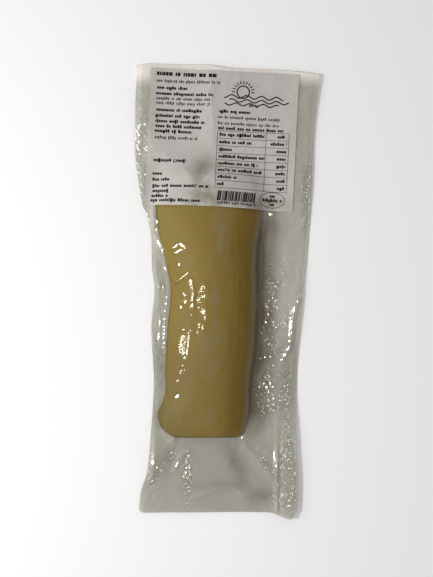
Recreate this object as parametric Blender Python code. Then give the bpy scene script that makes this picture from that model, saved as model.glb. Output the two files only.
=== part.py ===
"""Vacuum pack of salted dried cod: one cod loin in a clear pouch, with a paper label.

The pack lies on its back with the label up. X runs across the pouch, Y runs along it
towards the labelled end and Z is up. The origin is under the middle of the pack, on the
surface that it lies on. All sizes are in metres.

Both solids come from one height field. A flat grid is fitted into the pouch's outline,
extruded to a slab, and its two skins are then moved to the heights worked out below.
"""

import math

import bmesh
import bpy
from mathutils import Matrix, Vector

MM = 0.001

# Pouch: a flat bag of 100 x 250 mm, drawn in at the waist where the film takes up the loin.
POUCH_LENGTH = 250 * MM
SEAM_THICKNESS = 0.6 * MM
GRID_COLUMNS = 30
GRID_ROWS = 64

# Each edge is (place along the edge, place across it), in millimetres.
LEFT_EDGE = (
    (-126, -49), (-116, -47.5), (-105, -44), (-82, -42), (-52, -40.5), (-24, -42), (-1, -40),
    (9, -41.5), (26, -42), (38, -44), (46, -47), (56, -48.5), (79, -51), (106, -50.5), (126, -49.5),
)
RIGHT_EDGE = (
    (-126, 38.5), (-107, 39.5), (-82, 38.5), (-49, 39), (-22, 40.5), (4, 42.5), (31, 45.5),
    (49, 46.5), (79, 47.5), (106, 49), (126, 51),
)
HEAD_EDGE = ((-51, 125), (-43, 126.5), (-13, 126), (5, 123.5), (23, 123.5), (36, 122.5), (51, 120))
FOOT_EDGE = ((-49, -122.5), (23, -122.5), (28, -123.5), (33, -125.5), (38, -126.5))
FOOT_CORNER_CUT = 1.2 * MM

# Cod loin: its outline in plan and the height of its crest, in the same form.
COD_HEAD = 68 * MM
COD_FOOT = -81 * MM
COD_LEFT = (
    (-81, -29), (-75, -36), (-68, -38.5), (-58, -34.5), (-45, -34.5), (-20, -33), (4, -31.5),
    (25, -36), (44, -39.5), (60, -37), (68, -33),
)
COD_RIGHT = ((-81, 8.5), (-75, 10.5), (-50, 13), (-30, 15.5), (-5, 16.5), (25, 17), (44, 19.5), (60, 18), (68, 13))
CREST_LINE = ((-81, -12), (-40, -9), (0, -7), (44, -8), (68, -10))
CREST_HEIGHT = ((-81, 8.5), (-60, 11), (-20, 13), (20, 13), (50, 11.5), (68, 9))
RIM_SHARE = 0.36
SHOULDER = 4 * MM
SHOULDER_DROP = 0.45

# How far the film tents outwards from the loin before it meets the back film.
TENT_LEFT = 5 * MM
TENT_RIGHT = 9 * MM
TENT_HEAD = 13 * MM
TENT_FOOT = 8 * MM

# The seams lift off the surface in slow waves: (mean lift, swing, wave length, phase).
WAVE_LEFT = (1.5 * MM, 1.0 * MM, 47 * MM, 0.6)
WAVE_RIGHT = (1.1 * MM, 0.7 * MM, 74 * MM, 2.2)
WAVE_HEAD = (1.3 * MM, 0.8 * MM, 58 * MM, 1.4)
WAVE_FOOT = (0.9 * MM, 0.6 * MM, 64 * MM, 4.0)
END_RISE = 34 * MM
LEAST_SEAM = 5 * MM

# The side seam at the foot is pleated: right of this line it lies on top of the pouch.
PLEAT_COLUMN = 26
PLEAT_TOP = -58 * MM
PLEAT_RISE = 1.5 * MM

# Long soft folds in the film: (start, end, height, half width), in millimetres.
FOLDS = (
    ((9, -80), (35, -112), 1.0, 4.0),
    ((-28, -80), (-41, -103), 0.9, 3.5),
    ((-9, 123), (-9, 78), 1.1, 4.5),
    ((14, 66), (41, 92), 1.0, 4.5),
    ((-34, 66), (-47, 96), 0.9, 4.0),
    ((20, 22), (43, 30), 0.7, 4.0),
    ((18, -40), (38, -34), 0.7, 4.0),
)

# Paper label, stuck to the front film across the head of the pouch.
LABEL_WIDTH = 82 * MM
LABEL_HEIGHT = 76 * MM
LABEL_CENTRE = Vector((-2.6 * MM, 84.1 * MM, 0))
LABEL_TURN = math.radians(-2.8)
LABEL_GAP = 0.3 * MM
LABEL_THICKNESS = 0.3 * MM


def smooth_step(low, high, value):
    """0 below low, 1 above high, and a smooth rise between them."""
    share = min(max((value - low) / (high - low), 0), 1)
    return share * share * (3 - 2 * share)


def through(stations, place):
    """The smooth curve through these stations at a place in metres. It never overshoots one."""
    keys = [key * MM for key, _ in stations]
    values = [value * MM for _, value in stations]
    place = min(max(place, keys[0]), keys[-1])
    slopes = [(values[i + 1] - values[i]) / (keys[i + 1] - keys[i]) for i in range(len(keys) - 1)]
    span = max(i for i, key in enumerate(keys[:-1]) if key <= place)

    def tangent(i):
        if i in (0, len(keys) - 1):
            return slopes[0 if i == 0 else -1]
        before, after = slopes[i - 1], slopes[i]
        return 0 if before * after <= 0 else 2 * before * after / (before + after)

    width = keys[span + 1] - keys[span]
    t = (place - keys[span]) / width
    start = (1 + 2 * t) * (1 - t) ** 2 * values[span] + t * (1 - t) ** 2 * width * tangent(span)
    end = t * t * (3 - 2 * t) * values[span + 1] - t * t * (1 - t) * width * tangent(span + 1)
    return start + end


def in_outline(across, along):
    """The point of the pouch's outline at these shares, each from 0 to 1, of its width and length."""
    level = (along - 0.5) * POUCH_LENGTH
    left, right = through(LEFT_EDGE, level), through(RIGHT_EDGE, level)
    x = left + across * (right - left)
    foot, head = through(FOOT_EDGE, x), through(HEAD_EDGE, x)
    return x, foot + along * (head - foot)


def inside_cod(x, y):
    """How far a point is inside the loin's outline in plan, below 0 outside it, and the tent there."""
    sides = (
        (x - through(COD_LEFT, y), TENT_LEFT),
        (through(COD_RIGHT, y) - x, TENT_RIGHT),
        (COD_HEAD - y, TENT_HEAD),
        (y - COD_FOOT, TENT_FOOT),
    )
    outside = [(-depth, tent) for depth, tent in sides if depth < 0]
    if not outside:
        return min(sides)
    share = math.hypot(*(depth / tent for depth, tent in outside))
    tent = max(outside)[1]
    return -share * tent, tent


def cod_height(x, y):
    """The height of the front film over the loin and of its tent round it, above the back film."""
    crest, top = through(CREST_LINE, y), through(CREST_HEIGHT, y)
    side = through(COD_LEFT if x < crest else COD_RIGHT, y)
    across = min(abs((x - crest) / (side - crest)), 1)
    dome = top * (RIM_SHARE + (1 - RIM_SHARE) * (1 - across**2))
    depth, tent = inside_cod(x, y)
    if depth >= 0:
        return dome * (1 - SHOULDER_DROP * (1 - min(depth / SHOULDER, 1)) ** 2)
    return dome * (1 - SHOULDER_DROP) * max(1 + depth / tent, 0) ** 2


def fold_height(x, y):
    """What the long folds add, each highest in its middle and gone at its ends."""
    added = 0
    for start, end, height, half_width in FOLDS:
        foot = Vector(start) * MM
        run = Vector(end) * MM - foot
        reach = Vector((x, y)) - foot
        along = reach.dot(run) / run.length_squared
        if 0 < along < 1:
            aside = (reach - along * run).length / (half_width * MM)
            added += height * MM * math.sin(math.pi * along) * math.exp(-aside * aside)
    return added


def wave(settings, place):
    mean, swing, length, phase = settings
    return mean + swing * math.sin(math.tau * place / length + phase)


def seam_lift(x, y):
    """How far the seams have lifted off the surface. It is 0 under the loin."""
    left_edge, right_edge = through(LEFT_EDGE, y), through(RIGHT_EDGE, y)
    left_foot = max(through(COD_LEFT, y) - TENT_LEFT / 2, left_edge + LEAST_SEAM)
    left = smooth_step(-left_foot, -left_edge, -x)
    right = smooth_step(through(COD_RIGHT, y) + TENT_RIGHT / 2, right_edge, x)
    head = smooth_step(COD_HEAD + TENT_HEAD / 2, COD_HEAD + TENT_HEAD / 2 + END_RISE, y)
    foot = smooth_step(TENT_FOOT / 2 - COD_FOOT, TENT_FOOT / 2 - COD_FOOT + END_RISE, -y)
    sides = left * wave(WAVE_LEFT, y) + right * wave(WAVE_RIGHT, y)
    return sides + head * wave(WAVE_HEAD, x) + foot * wave(WAVE_FOOT, x)


def pleat_lift(column, y):
    """The pleated seam strip at the foot lies on top of the panel beside it."""
    if column <= PLEAT_COLUMN:
        return 0
    return PLEAT_RISE * smooth_step(-PLEAT_TOP, END_RISE - PLEAT_TOP, -y)


def slab(name, low, high):
    """A grid over the pouch's outline, extruded to a slab whose skins are at low and high.

    low and high take x, y and the grid column and give a height.
    """
    bpy.ops.mesh.primitive_grid_add(x_subdivisions=GRID_COLUMNS, y_subdivisions=GRID_ROWS, size=1)
    solid = bpy.context.object
    solid.name = solid.data.name = name
    mesh = bmesh.new()
    mesh.from_mesh(solid.data)
    raised = bmesh.ops.extrude_face_region(mesh, geom=mesh.faces[:])["geom"]
    upper = {item for item in raised if isinstance(item, bmesh.types.BMVert)}
    for point in mesh.verts:
        across, along = point.co.x + 0.5, point.co.y + 0.5
        x, y = in_outline(across, along)
        if along == 0 and across in (0, 1):
            x += FOOT_CORNER_CUT * (1 - 2 * across)
            y += FOOT_CORNER_CUT
        surface = high if point in upper else low
        point.co = (x, y, surface(x, y, round(across * GRID_COLUMNS)))
    bmesh.ops.triangulate(mesh, faces=mesh.faces[:], quad_method="SHORT_EDGE")
    bmesh.ops.recalc_face_normals(mesh, faces=mesh.faces[:])
    mesh.to_mesh(solid.data)
    mesh.free()
    return solid


def back_film(x, y, column):
    return seam_lift(x, y) + pleat_lift(column, y)


def front_film(x, y, column):
    return back_film(x, y, column) + SEAM_THICKNESS + cod_height(x, y) + fold_height(x, y)


def label_back(x, y, column):
    return front_film(x, y, column) + LABEL_GAP


def label_front(x, y, column):
    return label_back(x, y, column) + LABEL_THICKNESS


def material(name, colour, roughness):
    finish = bpy.data.materials.new(name)
    finish.use_nodes = True
    shader = finish.node_tree.nodes["Principled BSDF"]
    shader.inputs["Base Color"].default_value = (*colour, 1)
    shader.inputs["Roughness"].default_value = roughness
    return finish


def put_in(collection, solid):
    for other in solid.users_collection:
        other.objects.unlink(solid)
    collection.objects.link(solid)


def clear_scene():
    for thing in list(bpy.data.objects):
        bpy.data.objects.remove(thing)


def make_pouch(parts):
    pouch = slab("vacuum_pouch", back_film, front_film)
    pouch.data.shade_smooth()
    pouch.data.set_sharp_from_angle(angle=math.radians(60))
    pouch.data.materials.append(material("cod in clear film", (0.36, 0.28, 0.12), 0.25))
    put_in(parts, pouch)


def make_label(parts, cutters):
    """A skin just above the front film, cut to the label's rectangle."""
    label = slab("paper_label", label_back, label_front)
    label.data.materials.append(material("label paper", (0.62, 0.60, 0.57), 0.8))
    put_in(parts, label)

    bpy.ops.mesh.primitive_cube_add(size=1)
    cutter = bpy.context.object
    cutter.name = "label_outline"
    cutter.data.transform(Matrix.Diagonal((LABEL_WIDTH, LABEL_HEIGHT, 0.2, 1)))
    cutter.location = LABEL_CENTRE
    cutter.rotation_euler.z = LABEL_TURN
    cutter.hide_render = True
    cutter.display_type = "WIRE"
    put_in(cutters, cutter)

    trim = label.modifiers.new("trim to the outline", "BOOLEAN")
    trim.operation = "INTERSECT"
    trim.object = cutter


def main():
    clear_scene()
    parts = bpy.data.collections.new("salted dried cod pack")
    cutters = bpy.data.collections.new("cutters")
    for collection in (parts, cutters):
        bpy.context.scene.collection.children.link(collection)
    make_pouch(parts)
    make_label(parts, cutters)


main()
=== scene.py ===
# %% [markdown]
# # A vacuum pack of salted dried cod
#
# One loin of salted cod lies in a clear pouch, and a printed paper label is stuck across its
# head. The frame holds two plain solids: the pouch with the loin inside it, and the label. This
# lesson dresses them: a real film, the loin that shows through it, the paper and its print.

import math
import random

import bmesh
import bpy
import numpy as np
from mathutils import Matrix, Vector, noise
from mathutils.bvhtree import BVHTree


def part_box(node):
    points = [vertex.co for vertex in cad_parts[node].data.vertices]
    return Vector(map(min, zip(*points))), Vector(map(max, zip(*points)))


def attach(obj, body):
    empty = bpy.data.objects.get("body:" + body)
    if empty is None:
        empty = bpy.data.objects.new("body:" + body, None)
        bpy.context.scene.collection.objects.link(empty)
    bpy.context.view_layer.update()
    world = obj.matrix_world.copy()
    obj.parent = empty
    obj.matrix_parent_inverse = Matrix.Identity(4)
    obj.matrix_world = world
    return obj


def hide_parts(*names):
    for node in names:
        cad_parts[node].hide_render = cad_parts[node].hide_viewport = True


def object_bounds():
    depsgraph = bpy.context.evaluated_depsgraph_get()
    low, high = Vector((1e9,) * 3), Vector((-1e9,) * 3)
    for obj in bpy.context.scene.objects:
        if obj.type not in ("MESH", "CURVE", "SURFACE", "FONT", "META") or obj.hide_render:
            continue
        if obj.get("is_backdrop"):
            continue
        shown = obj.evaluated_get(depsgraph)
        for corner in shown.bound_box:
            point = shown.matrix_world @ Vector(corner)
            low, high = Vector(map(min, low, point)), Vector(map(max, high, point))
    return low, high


MM = 0.001
PER_MM = 1 / MM
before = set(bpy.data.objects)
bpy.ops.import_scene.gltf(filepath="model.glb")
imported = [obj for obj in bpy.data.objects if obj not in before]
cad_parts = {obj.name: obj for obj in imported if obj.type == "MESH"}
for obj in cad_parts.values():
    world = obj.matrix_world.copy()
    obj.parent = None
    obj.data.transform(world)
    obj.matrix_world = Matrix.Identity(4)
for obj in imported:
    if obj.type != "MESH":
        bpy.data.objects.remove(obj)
CAD_BOX = [list(corner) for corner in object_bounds()]
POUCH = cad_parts["vacuum_pouch"]
print("frame:", [round((high - low) / MM, 1) for low, high in zip(*CAD_BOX)], "mm")

# %% [markdown]
# ## Hands
#
# A few small helpers do what a hand does in the viewport: pick a thing up, give it a thickness,
# move the points of its mesh, and feel for the height of a surface by dropping a plumb line on it.

# %% Selecting and shaping
def pick(*things):
    """Selects only these things. The first is the active one."""
    if bpy.context.object and bpy.context.object.mode != "OBJECT":
        bpy.ops.object.mode_set(mode="OBJECT")
    bpy.ops.object.select_all(action="DESELECT")
    for thing in things:
        thing.select_set(True)
    bpy.context.view_layer.objects.active = things[0]
    return things[0]


def named(name):
    """Names the thing that was just added, and its mesh."""
    thing = bpy.context.object
    thing.name = thing.data.name = name
    return thing


def on_whole_mesh(thing, operator, **settings):
    """Runs one operator of edit mode on all of a thing."""
    pick(thing)
    bpy.ops.object.mode_set(mode="EDIT")
    bpy.ops.mesh.select_all(action="SELECT")
    operator(**settings)
    bpy.ops.object.mode_set(mode="OBJECT")


def thicken(thing, thickness):
    """Gives a flat sheet its thickness, on its upper side."""
    wall = pick(thing).modifiers.new("thickness", "SOLIDIFY")
    wall.thickness, wall.offset = thickness, 1
    bpy.ops.object.modifier_apply(modifier=wall.name)


# %% Reading and moving points
def points_of(thing):
    """The points of a mesh as an array with a row for each."""
    flat = np.empty(len(thing.data.vertices) * 3, np.float32)
    thing.data.vertices.foreach_get("co", flat)
    return flat.reshape(-1, 3).astype(float)


def move_points(thing, x, y, z):
    """Moves every point of a mesh, in the order that points_of gives."""
    points = np.stack((x, y, z), axis=-1).astype(np.float32)
    thing.data.vertices.foreach_set("co", points.ravel())
    thing.data.update()


def grid(name, columns, rows):
    """A grid, and the shares of its width and length, from 0 to 1, that its points stand at."""
    bpy.ops.mesh.primitive_grid_add(x_subdivisions=columns, y_subdivisions=rows, size=1)
    thing = named(name)
    shares = points_of(thing).reshape(rows + 1, columns + 1, 3) + 0.5
    return thing, shares[..., 0], shares[..., 1]


def paint(thing, name, values):
    """Keeps one number for each point, for the materials to read."""
    layer = thing.data.attributes.new(name, "FLOAT", "POINT")
    layer.data.foreach_set("value", np.clip(values, 0, 1).astype(np.float32).ravel())


# %% Feeling for a surface
DOWN = Vector((0, 0, -1))
UP = Vector((0, 0, 1))
FAR = 0.1


def surface_of(thing):
    """A surface that plumb lines can be dropped on."""
    mesh = bmesh.new()
    mesh.from_mesh(thing.data)
    tree = BVHTree.FromBMesh(mesh)
    mesh.free()
    return tree


def height_on(tree, x, y, way=DOWN):
    """The height at which a plumb line meets a surface, or its nearest point's if it misses."""
    start = Vector((x, y, 0)) - way * FAR
    hit = tree.ray_cast(start, way)[0]
    return (hit or tree.find_nearest(start * Vector((1, 1, 0)))[0]).z


def heights_on(tree, x, y, way=DOWN):
    """The same over whole arrays of places."""
    found = [height_on(tree, a, b, way) for a, b in zip(x.ravel(), y.ravel())]
    return np.array(found).reshape(x.shape)


def smooth_step(low, high, value):
    """0 at low, 1 at high, and a smooth change between them. high may be the lower of the two."""
    share = np.clip((value - low) / (high - low), 0, 1)
    return share * share * (3 - 2 * share)


def step_mm(low, high, place):
    """A smooth step between two places in millimetres, read in metres."""
    return smooth_step(low * MM, high * MM, place)


def through(stations, place):
    """A smooth curve through stations of (place, value) in millimetres, read in metres."""
    keys, values = (np.array(column) * MM for column in zip(*stations))
    slopes = np.gradient(values, keys)
    place = np.clip(place, keys[0], keys[-1])
    at = np.clip(np.searchsorted(keys, place, "right") - 1, 0, len(keys) - 2)
    width = keys[at + 1] - keys[at]
    t = (place - keys[at]) / width
    start = (1 + 2 * t) * (1 - t) ** 2 * values[at] + t * (1 - t) ** 2 * width * slopes[at]
    return start + t * t * (3 - 2 * t) * values[at + 1] - t * t * (1 - t) * width * slopes[at + 1]


# %% [markdown]
# ## Finishes
#
# A material is a small calculation for each spot of a surface. Wiring it by hand takes many
# nodes, so a number in it is wrapped in a class of its own: sums on it then add the Math nodes.
# Every other node comes from one method that takes its kind, settings and sockets.

# %% Numbers of a material
class Number:
    """A number that a finish works out. Sums on it add Math nodes."""

    def __init__(self, finish, socket):
        self.finish, self.socket = finish, socket

    def sum(self, operation, *others):
        wires = dict(enumerate((self, *others)))
        return self.finish.add("ShaderNodeMath", {"operation": operation}, wires)

    def __add__(self, other):
        return self.sum("ADD", other)

    def __sub__(self, other):
        return self.sum("SUBTRACT", other)

    def __mul__(self, other):
        return self.sum("MULTIPLY", other)

    def __rsub__(self, other):
        return self * -1 + other

    __radd__, __rmul__ = __add__, __mul__

    def sine(self):
        return self.sum("SINE")

    def most(self, other):
        return self.sum("MAXIMUM", other)

    def rise(self, low, high):
        """0 below low, 1 above high, and a smooth rise between them."""
        sockets = {"Value": self, "From Min": low, "From Max": high}
        return self.finish.add("ShaderNodeMapRange", {"interpolation_type": "SMOOTHSTEP"}, sockets)


# %% Nodes of a material
class Finish:
    """A material with one Principled shader, and the nodes that feed it."""

    def __init__(self, name, **plain):
        self.material = bpy.data.materials.new(name)
        self.material.use_nodes = True
        self.nodes, self.links = self.material.node_tree.nodes, self.material.node_tree.links
        self.shader = self.nodes["Principled BSDF"]
        for socket, value in plain.items():
            self.wire(self.shader, socket.replace("_", " "), value)

    def wire(self, node, socket, value):
        target = node.inputs[socket]
        if isinstance(value, Number):
            self.links.new(value.socket, target)
        elif isinstance(value, tuple) and target.type == "RGBA":
            target.default_value = (*value, 1)
        else:
            target.default_value = value

    def add(self, kind, settings=(), sockets=(), output=0):
        """A node of this kind: its settings first, then the values or wires of its sockets."""
        node = self.nodes.new(kind)
        for name, value in dict(settings).items():
            setattr(node, name, value)
        for socket, value in dict(sockets).items():
            self.wire(node, socket, value)
        return Number(self, node.outputs[output])

    def place(self):
        """Where a spot is on the object, in metres."""
        return self.add("ShaderNodeTexCoord", output="Object")

    def painted(self, name):
        """A number that was kept for each point of the mesh."""
        return self.add("ShaderNodeAttribute", {"attribute_name": name}, output="Fac")

    def axes(self, place):
        """A place's three numbers."""
        split = self.nodes.new("ShaderNodeSeparateXYZ")
        self.wire(split, 0, place)
        return [Number(self, output) for output in split.outputs]

    def stretched(self, place, scale, turn=0.0):
        """A place turned about Z and then scaled, for a pattern that has a direction."""
        turned = {"Vector": place, "Rotation": (0, 0, turn), "Scale": scale}
        return self.add("ShaderNodeMapping", {"vector_type": "POINT"}, turned)

    def cloud(self, place, scale, detail=3.0, roughness=0.5, distortion=0.0):
        """Soft noise, about 0.5 in its middle."""
        sockets = {"Vector": place, "Scale": scale, "Detail": detail}
        sockets |= {"Roughness": roughness, "Distortion": distortion}
        return self.add("ShaderNodeTexNoise", sockets=sockets)

    def blend(self, share, first, second):
        """A colour between two, the second where share is 1."""
        sockets = {"Factor": share, 6: first, 7: second}
        return self.add("ShaderNodeMix", {"data_type": "RGBA"}, sockets, output=2)

    def relief(self, height, depth, under=None):
        """Fine relief of this depth in metres."""
        sockets = {"Height": height, "Distance": depth, "Strength": 1.0}
        if under:
            sockets["Normal"] = under
        return self.add("ShaderNodeBump", sockets=sockets)

    def give(self, **wires):
        """Wires what was worked out into the shader."""
        for socket, value in wires.items():
            self.wire(self.shader, socket.replace("_", " "), value)
        return self.material


# %% [markdown]
# ## The film's outline
#
# The pouch is two sheets of clear laminate, welded round their edges. A film has no thickness
# worth modelling at this size, but it needs many points, because its wrinkles are what shows. A
# sheet could be cut out of a larger one, which leaves ragged edges. Fitting a grid between the
# edges of the frame's pouch keeps the rows and columns clean, so the edges are felt for first.

# %% Feel for the pouch's edges
POUCH_SURFACE = surface_of(POUCH)
LOW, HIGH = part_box("vacuum_pouch")
SAFE_END = 7 * MM
EDGE_INSET = 0.15 * MM
EDGE_DOUBT = 0.02 * MM
NEAR_HEAD = HIGH.y - 20 * MM
NEAR_FOOT = LOW.y + 9 * MM


def edge_from(x, y, step_x, step_y):
    """How far the pouch reaches from a point inside it, one way, by halving the doubt."""
    near, far = 0.0, HIGH.y - LOW.y
    while far - near > EDGE_DOUBT:
        middle = (near + far) / 2
        start = Vector((x + step_x * middle, y + step_y * middle, FAR))
        if POUCH_SURFACE.ray_cast(start, DOWN)[0]:
            near = middle
        else:
            far = middle
    return near - EDGE_INSET


LEVELS = np.linspace(LOW.y + SAFE_END, HIGH.y - SAFE_END, 160)
LEFT = np.array([-edge_from(0, y, -1, 0) for y in LEVELS])
RIGHT = np.array([edge_from(0, y, 1, 0) for y in LEVELS])
HEAD_PLACES = np.linspace(-49 * MM, 48 * MM, 90)
HEAD = np.array([NEAR_HEAD + edge_from(x, NEAR_HEAD, 0, 1) for x in HEAD_PLACES])
FOOT_PLACES = np.linspace(-46 * MM, 38 * MM, 80)
FOOT = np.array([NEAR_FOOT - edge_from(x, NEAR_FOOT, 0, -1) for x in FOOT_PLACES])
widths = (RIGHT - LEFT) / MM
print("film is", widths.min().round(1), "to", widths.max().round(1), "mm wide")

# %% Fit a grid between the edges
CORNER = 3 * MM
# The weld at the head ends in a small ear at its left corner: how far it stands out, and its size.
EAR, EAR_LENGTH, EAR_REACH = 1.4 * MM, 1.6 * MM, 2 * MM


def line_beyond(place, keys, values):
    """Linear between the values that were felt for, and straight on beyond the first and last."""
    inner = np.interp(place, keys, values)
    low = (values[3] - values[0]) / (keys[3] - keys[0]) * np.minimum(place - keys[0], 0)
    high = (values[-1] - values[-4]) / (keys[-1] - keys[-4]) * np.maximum(place - keys[-1], 0)
    return inner + low + high


def sides(y):
    """The pouch's left and right edges at these places along it."""
    return line_beyond(y, LEVELS, LEFT), line_beyond(y, LEVELS, RIGHT)


def ends(x):
    """The pouch's foot and head edges at these places across it."""
    return line_beyond(x, FOOT_PLACES, FOOT), line_beyond(x, HEAD_PLACES, HEAD)


def in_outline(across, along):
    """Shares from 0 to 1 of the pouch's width and length become places on its outline's inside."""
    left, right = sides(LOW.y + along * (HIGH.y - LOW.y))
    x = left + across * (right - left)
    foot, head = ends(x)
    y = foot + along * (head - foot)
    for side, edge in ((-1, left), (1, right)):
        a = np.clip(1 - side * (edge - x) / CORNER, 0, 1)
        b = np.clip(1 - (y - foot) / CORNER, 0, 1)
        x = x - side * CORNER * a * (1 - np.sqrt(1 - b * b / 2))
        y = y + CORNER * b * (1 - np.sqrt(1 - a * a / 2))
    ear = np.exp(-(((head - y) / EAR_LENGTH) ** 2)) * np.exp(-((x - left) / EAR_REACH))
    return x - EAR * ear, y


# %% [markdown]
# ## The creases
#
# A vacuum film is never smooth. It has creases with a sharp crest, folds with flat flanks, and
# puckers where it clings to the moist flesh, and it glints wherever a small flat of it leans to
# the lamp. Cloth simulation gives folds, but not these folds. Here each one is a stroke of a
# brush, with a place or path and half widths in millimetres, that changes the sheet's height.

# %% Brushes that follow a path
CREST = 0.25
TAPER = 0.25
FOLD_TAPER = 0.32


def along_path(x, y, path):
    """How far each place is from a path, and how far along the path it lies, from 0 to 1."""
    points = [Vector(point) * MM for point in path]
    lengths = [(b - a).length for a, b in zip(points, points[1:])]
    total, before = sum(lengths), 0.0
    best, share = np.full(x.shape, np.inf), np.zeros(x.shape)
    for a, b, length in zip(points, points[1:], lengths):
        run = (b - a) / length
        along = np.clip((x - a.x) * run.x + (y - a.y) * run.y, 0, length)
        apart = np.hypot(x - a.x - along * run.x, y - a.y - along * run.y)
        share = np.where(apart < best, (before + along) / total, share)
        best = np.minimum(best, apart)
        before += length
    return best, share


def crease(x, y, path, height, half_width):
    """A ridge with a sharp crest that fades towards both ends of its path."""
    apart, share = along_path(x, y, path)
    profile = np.exp(CREST - np.sqrt((apart / (half_width * MM)) ** 2 + CREST**2))
    return height * MM * profile * smooth_step(0, TAPER, share) * smooth_step(0, TAPER, 1 - share)


def fold(x, y, path, half_width, slope):
    """A fold with flat flanks of this slope, which runs out at both ends."""
    apart, share = along_path(x, y, path)
    reach = half_width * MM * smooth_step(0, FOLD_TAPER, share) * smooth_step(0, TAPER, 1 - share)
    return slope * np.maximum(reach - apart, 0)


# %% Patches and grain
def patch(x, y, centre, half_width, half_length, turn=0.0):
    """1 in the middle of an oval patch, fading out past its rim."""
    a, b = x - centre[0] * MM, y - centre[1] * MM
    c, s = math.cos(math.radians(turn)), math.sin(math.radians(turn))
    across, along = a * c + b * s, b * c - a * s
    return np.exp(-((across / (half_width * MM)) ** 2) - (along / (half_length * MM)) ** 2)


def grain(x, y, size_x, size_y, seed, sharp=False):
    """Smooth noise with features of this size in millimetres. Sharp noise has crests."""
    scale = Vector((1 / (size_x * MM), 1 / (size_y * MM)))
    found = np.empty(x.size)
    for i, (a, b) in enumerate(zip(x.ravel() * scale.x, y.ravel() * scale.y)):
        found[i] = noise.noise((a, b, seed))
    found = found.reshape(x.shape)
    return 1 - 2 * np.abs(found) if sharp else found


# %% Creases of the front film: (path, height, half width)
CREASES = (
    # along the loin's left edge
    (((-42.5, 40), (-40.2, 31), (-37.6, 23), (-35.6, 14)), 0.35, 0.7),
    # short ones over the left of the loin
    (((-30.6, 22.9), (-27.6, 25.2), (-25.5, 26.6), (-23.6, 25.2), (-21.6, 22.9)), 0.34, 0.8),
    (((-29, 19.8), (-26.6, 22.3), (-23, 23.1)), 0.22, 0.6),
    (((-29.2, 3.9), (-24.4, 7.8), (-20, 11.3)), 0.5, 0.5),
    (((-19.9, 9.5), (-19.3, 3), (-18.5, -3), (-18.9, -10.5)), 0.3, 0.9),
    (((-25.4, -40.2), (-22.8, -43), (-25.8, -46.2)), 0.25, 0.8),
    (((-24.4, -64), (-24.2, -70), (-24.6, -78)), 0.25, 0.7),
    (((-19.6, -58), (-19.4, -64)), 0.2, 0.6),
    (((9.6, -12), (9.2, -19), (9.6, -27)), 0.3, 0.7),
    (((12.8, 41), (14.4, 38), (12.6, 35)), 0.3, 0.7),
    (((-34.3, -57), (-34.1, -68), (-33.2, -80)), 0.25, 0.6),
    # the pocket and the seam right of the loin
    (((30, 32), (36.9, 33.3), (46.5, 35.2)), 0.4, 0.8),
    (((21, -38), (24.6, -43)), 0.35, 0.8),
    (((27.6, -24), (31, -30), (26.5, -35.8)), 0.4, 1.0),
    (((18.5, 22), (19.8, 18), (18.8, 14)), 0.3, 0.8),
    (((26, 44.5), (31, 40), (33, 30)), 0.5, 2.0),
    # below the loin
    (((6, -82), (11.5, -87.3), (20.4, -95.8), (29, -104)), 0.9, 1.5),
    (((16, -86.6), (21, -87.6), (26.6, -89.2)), 0.8, 0.9),
    (((25.6, -87), (28.6, -91), (28.8, -97), (26.6, -98)), 0.6, 0.9),
    (((-27, -91.5), (-20.6, -88)), 0.6, 0.8),
    (((-29.8, -101.5), (-28.2, -96.6), (-23, -91.6)), 0.65, 0.9),
    (((-19.5, -88), (-15, -92.4), (-9.6, -94), (-4, -92.8)), -0.7, 0.9),
    (((-1.5, -95), (1, -95.6), (2.6, -93.4)), 0.6, 0.8),
    (((-28.5, -80.5), (-31, -84), (-36, -86)), 0.4, 1.0),
    (((-41.6, -86), (-41, -92), (-40.4, -98), (-42.2, -107)), 1.1, 1.3),
    (((-36.6, -96.6), (-34.4, -100.6)), 0.4, 1.0),
    (((7, -79), (10, -83.5), (12.6, -87.4)), 0.5, 0.9),
    (((-24, -116), (-14, -112.5), (-6, -109.7), (4, -108), (10, -112), (20, -113.6), (28, -110)), 1.1, 1.0),
    # under and beside the label
    (((-9.5, 125), (-9, 108), (-7.6, 92), (-7.4, 77)), 0.75, 3.2),
    (((28, 124), (24, 110), (16, 98)), 0.6, 5.0),
    (((-7.4, 77), (2, 81), (12, 88), (22, 92)), -0.45, 1.8),
    (((-7.4, 77), (1, 70), (-2.4, 61)), 0.35, 1.5),
    (((-40, 79), (-33, 75.5), (-25, 70), (-18, 60), (-14, 50)), 0.75, 2.2),
)
print(len(CREASES), "creases")

# %% Folds with flat flanks, which flash all at once: (path, half width, slope)
FOLDS = (
    (((46.8, 18), (44, 4), (41.2, -3), (38.2, -9), (36.8, -14), (36.2, -21), (35.8, -27.5),
      (34.4, -32.5), (31.8, -37.5), (27, -43)), 1.9, 0.5),
    (((28.4, 6), (27.6, -1), (23.6, -7.6), (24, -13.6), (22.4, -18), (20, -24)), 1.0, 0.5),
)
print(len(FOLDS), "folds")

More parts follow.
